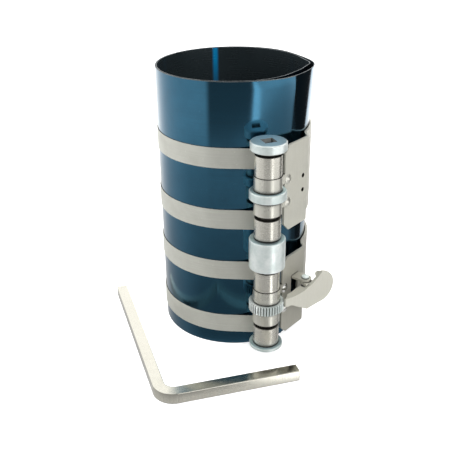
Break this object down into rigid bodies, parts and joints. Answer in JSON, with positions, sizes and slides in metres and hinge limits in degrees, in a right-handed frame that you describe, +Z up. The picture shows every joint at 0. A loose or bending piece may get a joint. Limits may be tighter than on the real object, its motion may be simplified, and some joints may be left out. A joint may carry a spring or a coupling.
{
  "type": "piston ring compressor",
  "caption": "Rolled blued spring-steel sleeve with steel straps that wind onto a ratchet spindle, a pawl lever that releases it, and a loose square L-key.",
  "frame": {"origin": "on the sleeve's axis, at its lower rim", "axes": "+Z up along the sleeve's axis; the spindle is at the front right, 70 degrees from +X towards -Y"},
  "size_m": [0.1416, 0.1486, 0.165],
  "materials": {
    "blued_steel": "blued spring steel, polished",
    "strap_steel": "bright rolled strip",
    "nickel_plate": "nickel plated",
    "zinc_plate": "bright zinc plated",
    "plain_steel": "turned, lightly oiled",
    "spring_wire": "drawn spring wire",
    "key_steel": "nickel plated square bar"
  },
  "bodies": {
    "sleeve_assembly": {"sleeve": "blued_steel", "strap_1": "strap_steel", "strap_2": "strap_steel", "strap_3": "strap_steel", "strap_4": "strap_steel", "upper_bracket": "nickel_plate", "lower_bracket": "nickel_plate", "upper_bracket_rivets": "nickel_plate", "lower_bracket_rivets": "zinc_plate", "lever_pin": "zinc_plate", "lever_spring": "spring_wire"},
    "spindle": {"strap_winding_1": "strap_steel", "strap_winding_2": "strap_steel", "strap_winding_3": "strap_steel", "strap_winding_4": "strap_steel", "spindle_shaft": "plain_steel", "drive_head": "zinc_plate", "upper_collar": "zinc_plate", "centre_collar": "zinc_plate", "ratchet_wheel": "zinc_plate", "bottom_flange": "zinc_plate"},
    "lever": {"release_lever": "nickel_plate"},
    "key": {"square_key": "key_steel"}
  },
  "joints": [
    {"name": "spindle_turn", "type": "hinge", "parent": "sleeve_assembly", "child": "spindle", "pos_m": [0.01969, -0.0553, 0.07], "axis": [0, 0, 1], "range_deg": [-20, 2160]},
    {"name": "lever_pivot", "type": "hinge", "parent": "sleeve_assembly", "child": "lever", "pos_m": [0.04358, -0.04248, 0.0349], "axis": [0, 0, 1], "range_deg": [-4, 12], "stiffness_Nm_per_rad": 0.05, "springref_deg": -4, "deforming": ["lever_spring"]},
    {"name": "key_lift", "type": "slide", "parent": "sleeve_assembly", "child": "key", "axis": [0, 0, 1], "range_m": [0, 0.2]}
  ]
}
